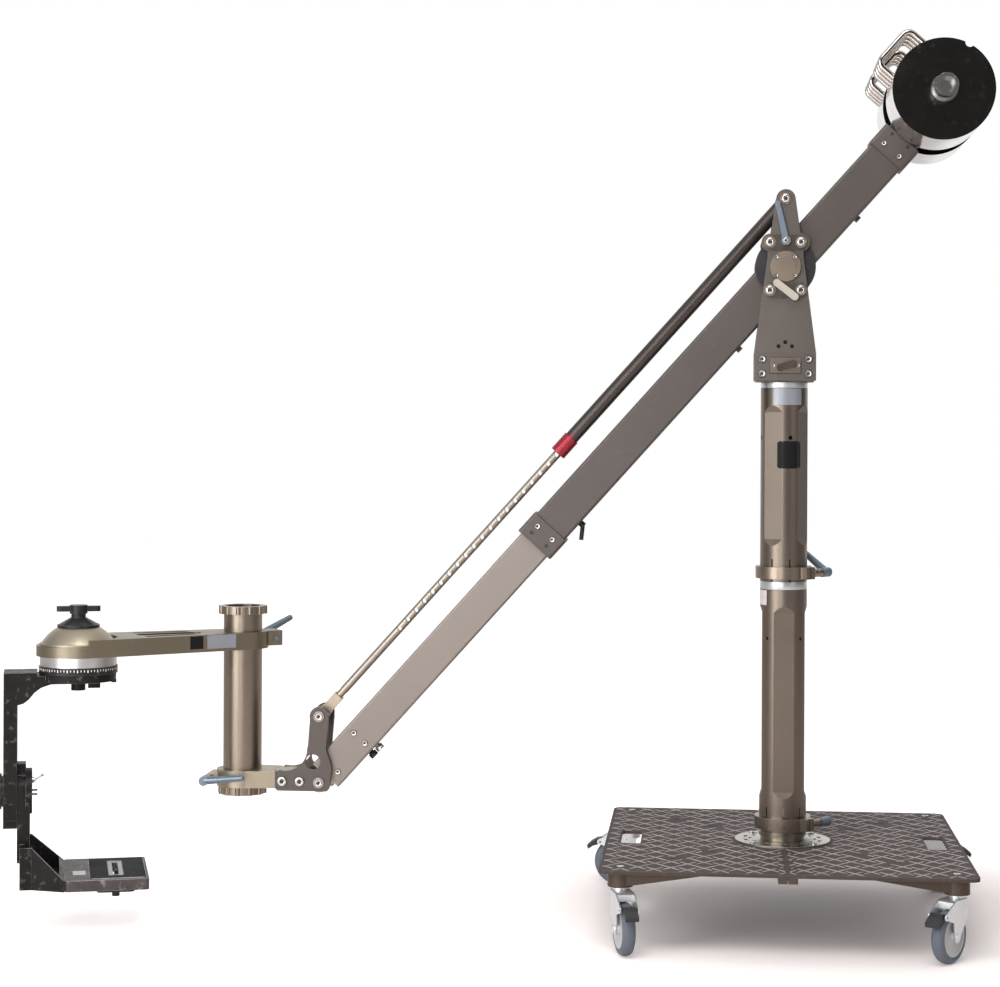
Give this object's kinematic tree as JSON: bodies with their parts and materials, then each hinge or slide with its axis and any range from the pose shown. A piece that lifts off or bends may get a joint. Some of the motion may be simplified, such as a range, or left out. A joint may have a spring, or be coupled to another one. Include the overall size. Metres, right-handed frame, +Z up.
{
  "type": "camera jib crane",
  "caption": "Dolly-mounted camera jib: castored deck, round column, counterweighted telescopic beam with levelling rod, and an offset underslung camera head.",
  "frame": {"origin": "on the floor below the axis of the column", "axes": "+X along the beam towards the counterweights, +Y across the deck away from the pictured side, +Z up"},
  "size_m": [2.4546, 0.9506, 2.1897],
  "materials": {
    "tread": "satin dark brown tread with worn ridges",
    "bronze_dark": "satin",
    "screw": "satin",
    "flange_silver": "turned",
    "bronze": "bead-blasted bronze anodising",
    "lever_blue": "semi-gloss",
    "champagne": "bead-blasted champagne anodising",
    "black_metal": "satin",
    "cream": "satin",
    "beam_dark": "satin",
    "black_disc": "semi-gloss",
    "beam_light": "satin",
    "rod_dark": "semi-gloss",
    "red": "satin",
    "rod_light": "satin",
    "bronze_light": "bead-blasted bronze anodising",
    "silver": "turned",
    "black_worn": "worn satin with bare edges",
    "chrome": "polished",
    "platform_grey": "satin",
    "zinc": "bright zinc",
    "castor_tyre": "blue-grey rubber on a light rim",
    "black_plastic": "satin"
  },
  "bodies": {
    "dolly": {"platform_left": "tread", "platform_right": "tread", "deck_frame": "bronze_dark", "deck_screws": "screw", "base_flange": "flange_silver", "column_lower": "bronze", "column_upper": "bronze", "clamp_rings": "bronze"},
    "tower": {"tower_block": "bronze", "cheek_plates": "bronze", "tower_bars": "bronze", "tower_screws": "screw", "pivot_shafts": "champagne"},
    "column_lever_lower": {"clamp_lever_lower": "lever_blue"},
    "column_lever_upper": {"clamp_lever_upper": "lever_blue"},
    "latch": {"latch_knob": "black_metal"},
    "tilt_lock": {"tilt_lever": "lever_blue"},
    "brake": {"brake_lever": "cream"},
    "beam": {"beam_outer": "beam_dark", "beam_collars": "beam_dark", "pivot_discs": "black_disc", "weight_shaft": "chrome", "counterweights": "chrome"},
    "telescope_lock": {"beam_lever": "black_metal"},
    "telescope": {"beam_inner": "beam_light", "beam_end_block": "champagne"},
    "level_rod": {"rod_outer": "rod_dark", "rod_collar": "red"},
    "level_rod_lower": {"rod_inner": "rod_light", "rod_fork": "champagne"},
    "bracket": {"bracket_plates": "beam_dark", "clamp_block": "champagne", "bracket_bolts": "screw"},
    "riser_lock": {"clamp_block_lever": "lever_blue"},
    "riser": {"riser_tube": "bronze_light", "ring_nuts": "bronze_light"},
    "arm": {"offset_arm": "champagne", "bowl_dome": "champagne", "pan_ring": "silver"},
    "arm_lock": {"arm_lever": "lever_blue"},
    "tie_down": {"tie_down_knob": "black_metal"},
    "pan": {"dial_ring": "black_metal", "head_bracket": "black_worn"},
    "tilt_clamp": {"tilt_knob": "black_metal"},
    "cradle": {"tilt_plate": "black_worn", "camera_platform": "platform_grey"},
    "head_lock": {"head_levers": "chrome"},
    "plate_screw": {"camera_screw": "black_metal"},
    "fork_fl_body": {"fork_fl": "zinc"},
    "wheel_fl_body": {"wheel_fl": "castor_tyre"},
    "pedal_fl_body": {"pedal_fl": "black_plastic"},
    "fork_fr_body": {"fork_fr": "zinc"},
    "wheel_fr_body": {"wheel_fr": "castor_tyre"},
    "pedal_fr_body": {"pedal_fr": "black_plastic"},
    "fork_bl_body": {"fork_bl": "zinc"},
    "wheel_bl_body": {"wheel_bl": "castor_tyre"},
    "pedal_bl_body": {"pedal_bl": "black_plastic"},
    "fork_br_body": {"fork_br": "zinc"},
    "wheel_br_body": {"wheel_br": "castor_tyre"},
    "pedal_br_body": {"pedal_br": "black_plastic"}
  },
  "joints": [
    {"name": "tower_pan", "type": "hinge", "parent": "dolly", "child": "tower", "pos_m": [0, 0, 1.347], "axis": [0, 0, 1], "continuous": true},
    {"name": "column_lever_lower_turn", "type": "hinge", "parent": "dolly", "child": "column_lever_lower", "pos_m": [0.05975, -0.05014, 0.2475], "axis": [0.6428, 0.766, 0], "range_deg": [-3, 190]},
    {"name": "column_lever_upper_turn", "type": "hinge", "parent": "dolly", "child": "column_lever_upper", "pos_m": [0.05975, -0.05014, 0.872], "axis": [0.6428, 0.766, 0], "range_deg": [-40, 150]},
    {"name": "latch_turn", "type": "hinge", "parent": "tower", "child": "latch", "pos_m": [0.002, -0.0653, 1.3873], "axis": [0, 1, 0], "range_deg": [-60, 60]},
    {"name": "tilt_lock_turn", "type": "hinge", "parent": "tower", "child": "tilt_lock", "pos_m": [0, -0.073, 1.696], "axis": [0, 1, 0], "range_deg": [-40, 60]},
    {"name": "brake_turn", "type": "hinge", "parent": "tower", "child": "brake", "pos_m": [0, -0.073, 1.574], "axis": [0, 1, 0], "range_deg": [-90, 0]},
    {"name": "beam_tilt", "type": "hinge", "parent": "tower", "child": "beam", "pos_m": [0, 0, 1.633], "axis": [0, 1, 0], "range_deg": [-2, 95]},
    {"name": "telescope_lock_turn", "type": "hinge", "parent": "beam", "child": "telescope_lock", "pos_m": [-0.51048, 0, 0.99074], "axis": [-0.7449, 0, 0.6672], "range_deg": [-90, 90]},
    {"name": "telescope_slide", "type": "slide", "parent": "beam", "child": "telescope", "axis": [0.6672, 0, 0.7449], "range_m": [0, 0.628]},
    {"name": "level_rod_tilt", "type": "hinge", "parent": "tower", "child": "level_rod", "pos_m": [0, 0, 1.801], "axis": [0, 1, 0], "range_deg": [-2, 95]},
    {"name": "level_rod_slide", "type": "slide", "parent": "level_rod", "child": "level_rod_lower", "axis": [0.6672, 0, 0.7449], "range_m": [0, 0.628]},
    {"name": "bracket_level", "type": "hinge", "parent": "telescope", "child": "bracket", "pos_m": [-1.1689, 0, 0.32795], "axis": [0, 1, 0], "range_deg": [-95, 2]},
    {"name": "riser_lock_turn", "type": "hinge", "parent": "bracket", "child": "riser_lock", "pos_m": [-1.4559, -0.031, 0.33345], "axis": [0, -1, 0], "range_deg": [-60, 30]},
    {"name": "riser_turn", "type": "hinge", "parent": "bracket", "child": "riser", "pos_m": [-1.3759, 0, 0.32795], "axis": [0, 0, 1], "range_deg": [-40, 75]},
    {"name": "arm_height", "type": "slide", "parent": "riser", "child": "arm", "axis": [0, 0, 1], "range_m": [-0.2, 0.04]},
    {"name": "arm_lock_turn", "type": "hinge", "parent": "arm", "child": "arm_lock", "pos_m": [-1.30896, 0.04381, 0.68545], "axis": [-0.5476, 0.8368, 0], "range_deg": [-20, 90]},
    {"name": "tie_down_turn", "type": "hinge", "parent": "arm", "child": "tie_down", "pos_m": [-1.73906, -0.23764, 0.74395], "axis": [0, 0, 1], "continuous": true},
    {"name": "head_pan", "type": "hinge", "parent": "arm", "child": "pan", "pos_m": [-1.73906, -0.23764, 0.63865], "axis": [0, 0, 1], "continuous": true},
    {"name": "tilt_clamp_turn", "type": "hinge", "parent": "pan", "child": "tilt_clamp", "pos_m": [-1.91129, -0.28997, 0.33065], "axis": [0.9568, 0.2907, 0], "continuous": true},
    {"name": "head_tilt", "type": "hinge", "parent": "pan", "child": "cradle", "pos_m": [-1.87971, -0.28038, 0.33065], "axis": [0.9568, 0.2907, 0], "range_deg": [-90, 90]},
    {"name": "head_lock_turn", "type": "hinge", "parent": "cradle", "child": "head_lock", "pos_m": [-1.84431, -0.26962, 0.35665], "axis": [0.9568, 0.2907, 0], "range_deg": [-60, 60]},
    {"name": "camera_screw_slide", "type": "slide", "parent": "cradle", "child": "plate_screw", "axis": [-0.2907, 0.9568, 0], "range_m": [-0.005, 0.125]},
    {"name": "swivel_fl", "type": "hinge", "parent": "dolly", "child": "fork_fl_body", "pos_m": [-0.39, -0.39, 0.15], "axis": [0, 0, 1], "continuous": true},
    {"name": "roll_fl", "type": "hinge", "parent": "fork_fl_body", "child": "wheel_fl_body", "pos_m": [-0.37953, -0.42653, 0.0625], "axis": [0.9613, 0.2756, 0], "continuous": true},
    {"name": "brake_fl", "type": "hinge", "parent": "fork_fl_body", "child": "pedal_fl_body", "pos_m": [-0.36661, -0.47159, 0.116], "axis": [0.9613, 0.2756, 0], "range_deg": [0, 18]},
    {"name": "swivel_fr", "type": "hinge", "parent": "dolly", "child": "fork_fr_body", "pos_m": [0.39, -0.39, 0.15], "axis": [0, 0, 1], "continuous": true},
    {"name": "roll_fr", "type": "hinge", "parent": "fork_fr_body", "child": "wheel_fr_body", "pos_m": [0.3682, -0.42113, 0.0625], "axis": [0.8192, -0.5736, 0], "continuous": true},
    {"name": "brake_fr", "type": "hinge", "parent": "fork_fr_body", "child": "pedal_fr_body", "pos_m": [0.34132, -0.45953, 0.116], "axis": [0.8192, -0.5736, 0], "range_deg": [0, 18]},
    {"name": "swivel_bl", "type": "hinge", "parent": "dolly", "child": "fork_bl_body", "pos_m": [-0.39, 0.39, 0.15], "axis": [0, 0, 1], "continuous": true},
    {"name": "roll_bl", "type": "hinge", "parent": "fork_bl_body", "child": "wheel_bl_body", "pos_m": [-0.428, 0.39, 0.0625], "axis": [0, -1, 0], "continuous": true},
    {"name": "brake_bl", "type": "hinge", "parent": "fork_bl_body", "child": "pedal_bl_body", "pos_m": [-0.47487, 0.39, 0.116], "axis": [0, -1, 0], "range_deg": [0, 18]},
    {"name": "swivel_br", "type": "hinge", "parent": "dolly", "child": "fork_br_body", "pos_m": [0.39, 0.39, 0.15], "axis": [0, 0, 1], "continuous": true},
    {"name": "roll_br", "type": "hinge", "parent": "fork_br_body", "child": "wheel_br_body", "pos_m": [0.428, 0.39, 0.0625], "axis": [0, 1, 0], "continuous": true},
    {"name": "brake_br", "type": "hinge", "parent": "fork_br_body", "child": "pedal_br_body", "pos_m": [0.47487, 0.39, 0.116], "axis": [0, 1, 0], "range_deg": [0, 18]}
  ],
  "couplings": [
    {"joint": "level_rod_tilt", "follows": "beam_tilt", "ratio": 1},
    {"joint": "bracket_level", "follows": "beam_tilt", "ratio": -1},
    {"joint": "level_rod_slide", "follows": "telescope_slide", "ratio": 1}
  ]
}
